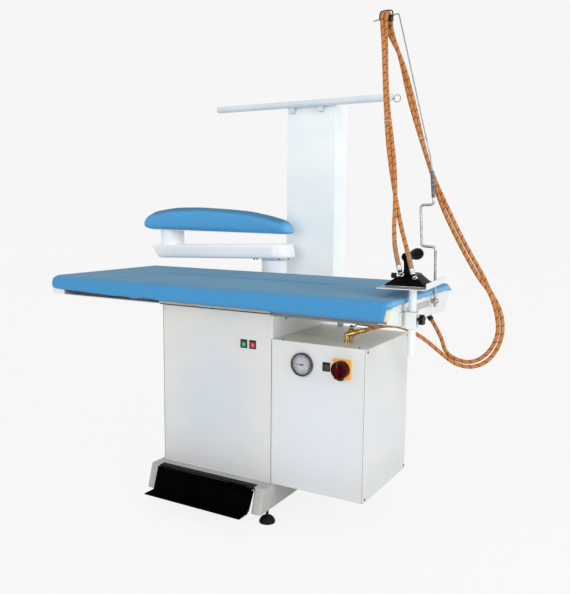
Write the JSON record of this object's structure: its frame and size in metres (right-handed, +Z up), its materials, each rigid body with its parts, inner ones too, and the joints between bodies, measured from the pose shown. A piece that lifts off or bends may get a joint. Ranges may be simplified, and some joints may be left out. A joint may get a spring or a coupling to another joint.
{
  "type": "vacuum ironing table",
  "caption": "Free-standing suction ironing table with a padded board, swinging sleeve arm, rear exhaust column, side boiler, steam iron on its rest and a sprung hose support.",
  "frame": {"origin": "on the floor under the middle of the machine's box (without its hoses)", "axes": "+Z up, +X to the user's right along the board, +Y away from the user"},
  "size_m": [1.7428, 0.935, 1.7527],
  "materials": {
    "base_frame": "semi-gloss",
    "levelling_feet": "matt",
    "treadle": "satin",
    "treadle_pin": "brushed",
    "treadle_spring": "brushed",
    "pedal_switch": "matt",
    "switch_plunger": "polished",
    "cabinet_shell": "semi-gloss",
    "front_panel": "semi-gloss",
    "panel_screws": "satin",
    "suction_duct": "galvanised",
    "fan_housing": "galvanised",
    "fan_impeller": "cast",
    "fan_motor": "painted",
    "rocker_frames": "gloss",
    "green_rocker": "gloss",
    "red_rocker": "gloss",
    "boiler_rocker": "gloss",
    "boiler_casing": "semi-gloss",
    "boiler_lid": "satin",
    "boiler_tank": "mill",
    "heating_element": "mill",
    "feed_pump": "cast",
    "brass_fittings": "machined",
    "valve_lever": "plated",
    "gauge_case": "polished",
    "gauge_pointer": "satin",
    "gauge_glass": "clear",
    "isolator_body": "gloss",
    "isolator_knob": "gloss",
    "board_tray": "semi-gloss",
    "board_top_sheet": "mill",
    "board_padding": "felt",
    "board_cover": "woven",
    "sleeve_post": "semi-gloss",
    "swivel_bush": "matt",
    "sleeve_arm": "semi-gloss",
    "sleeve_base": "semi-gloss",
    "sleeve_padding": "felt",
    "sleeve_cover": "woven",
    "column_shell": "semi-gloss",
    "column_cap": "semi-gloss",
    "rail_tube": "semi-gloss",
    "iron_rest": "satin",
    "rest_clamp": "semi-gloss",
    "rest_knob": "matt",
    "iron_sole": "polished",
    "iron_body": "satin",
    "iron_handle": "matt",
    "steam_knob": "matt",
    "iron_fittings": "plated",
    "whip_socket": "plated",
    "whip_rod": "plated",
    "whip_spring": "oiled",
    "whip_wand": "bright",
    "hose_saddle": "matt",
    "steam_hose": "braided",
    "cable_hose": "braided",
    "hose_gland": "matt"
  },
  "bodies": {
    "machine": {"base_frame": "base_frame", "levelling_feet": "levelling_feet", "treadle_pin": "treadle_pin", "treadle_spring": "treadle_spring", "pedal_switch": "pedal_switch", "cabinet_shell": "cabinet_shell", "front_panel": "front_panel", "panel_screws": "panel_screws", "suction_duct": "suction_duct", "fan_housing": "fan_housing", "fan_motor": "fan_motor", "rocker_frames": "rocker_frames", "boiler_casing": "boiler_casing", "boiler_lid": "boiler_lid", "boiler_tank": "boiler_tank", "heating_element": "heating_element", "feed_pump": "feed_pump", "brass_fittings": "brass_fittings", "gauge_case": "gauge_case", "gauge_glass": "gauge_glass", "isolator_body": "isolator_body", "board_tray": "board_tray", "board_top_sheet": "board_top_sheet", "board_padding": "board_padding", "board_cover": "board_cover", "sleeve_post": "sleeve_post", "swivel_bush": "swivel_bush", "column_shell": "column_shell", "column_cap": "column_cap", "rail_tube": "rail_tube", "iron_rest": "iron_rest", "rest_clamp": "rest_clamp", "whip_socket": "whip_socket", "whip_rod": "whip_rod", "whip_spring": "whip_spring", "whip_wand": "whip_wand", "hose_saddle": "hose_saddle", "steam_hose": "steam_hose", "cable_hose": "cable_hose", "hose_gland": "hose_gland"},
    "treadle": {"treadle": "treadle"},
    "switch_plunger": {"switch_plunger": "switch_plunger"},
    "green_rocker": {"green_rocker": "green_rocker"},
    "red_rocker": {"red_rocker": "red_rocker"},
    "boiler_rocker": {"boiler_rocker": "boiler_rocker"},
    "isolator_knob": {"isolator_knob": "isolator_knob"},
    "gauge_pointer": {"gauge_pointer": "gauge_pointer"},
    "valve_lever": {"valve_lever": "valve_lever"},
    "rest_knob": {"rest_knob": "rest_knob"},
    "fan_impeller": {"fan_impeller": "fan_impeller"},
    "sleeve": {"sleeve_arm": "sleeve_arm", "sleeve_base": "sleeve_base", "sleeve_padding": "sleeve_padding", "sleeve_cover": "sleeve_cover"},
    "iron": {"iron_sole": "iron_sole", "iron_body": "iron_body", "iron_handle": "iron_handle", "iron_fittings": "iron_fittings"},
    "steam_knob": {"steam_knob": "steam_knob"}
  },
  "joints": [
    {"name": "treadle_tilt", "type": "hinge", "parent": "machine", "child": "treadle", "pos_m": [0, -0.384, 0.132], "axis": [1, 0, 0], "range_deg": [0, 12], "stiffness_Nm_per_rad": 8, "springref_deg": -8.59, "deforming": ["treadle_spring"]},
    {"name": "switch_plunger_slide", "type": "slide", "parent": "machine", "child": "switch_plunger", "axis": [0, 1, 0], "range_m": [0, 0.0034]},
    {"name": "green_rocker_press", "type": "hinge", "parent": "machine", "child": "green_rocker", "pos_m": [0.125, -0.31, 0.624], "axis": [-1, 0, 0], "range_deg": [0, 16]},
    {"name": "red_rocker_press", "type": "hinge", "parent": "machine", "child": "red_rocker", "pos_m": [0.1615, -0.31, 0.624], "axis": [-1, 0, 0], "range_deg": [0, 16]},
    {"name": "boiler_rocker_press", "type": "hinge", "parent": "machine", "child": "boiler_rocker", "pos_m": [0.447, -0.31, 0.58], "axis": [-1, 0, 0], "range_deg": [0, 16]},
    {"name": "isolator_turn", "type": "hinge", "parent": "machine", "child": "isolator_knob", "pos_m": [0.504, -0.313, 0.58], "axis": [0, 1, 0], "range_deg": [0, 90]},
    {"name": "gauge_needle", "type": "hinge", "parent": "machine", "child": "gauge_pointer", "pos_m": [0.358, -0.313, 0.578], "axis": [0, 1, 0], "range_deg": [-45, 225]},
    {"name": "valve_lever_turn", "type": "hinge", "parent": "machine", "child": "valve_lever", "pos_m": [0.453, -0.132, 0.688], "axis": [0, 0, 1], "range_deg": [0, 90]},
    {"name": "rest_knob_turn", "type": "hinge", "parent": "machine", "child": "rest_knob", "pos_m": [0.757, -0.307, 0.762], "axis": [1, 0, 0], "continuous": true},
    {"name": "fan_spin", "type": "hinge", "parent": "machine", "child": "fan_impeller", "pos_m": [-0.08, -0.072, 0.28], "axis": [0, 0, 1], "continuous": true},
    {"name": "sleeve_swing", "type": "hinge", "parent": "machine", "child": "sleeve", "pos_m": [-0.08, 0.236, 0.872], "axis": [0, 0, 1], "range_deg": [-35, 100]},
    {"name": "iron_lift", "type": "slide", "parent": "machine", "child": "iron", "axis": [0, 0, 1], "range_m": [0, 0.12], "deforming": ["steam_hose", "cable_hose"]},
    {"name": "steam_knob_turn", "type": "hinge", "parent": "iron", "child": "steam_knob", "pos_m": [0.68265, -0.32027, 0.894], "axis": [0.9956, 0.0941, 0], "range_deg": [0, 270]}
  ],
  "couplings": [
    {"joint": "switch_plunger_slide", "follows": "treadle_tilt", "m_per_rad": 0.0152}
  ]
}
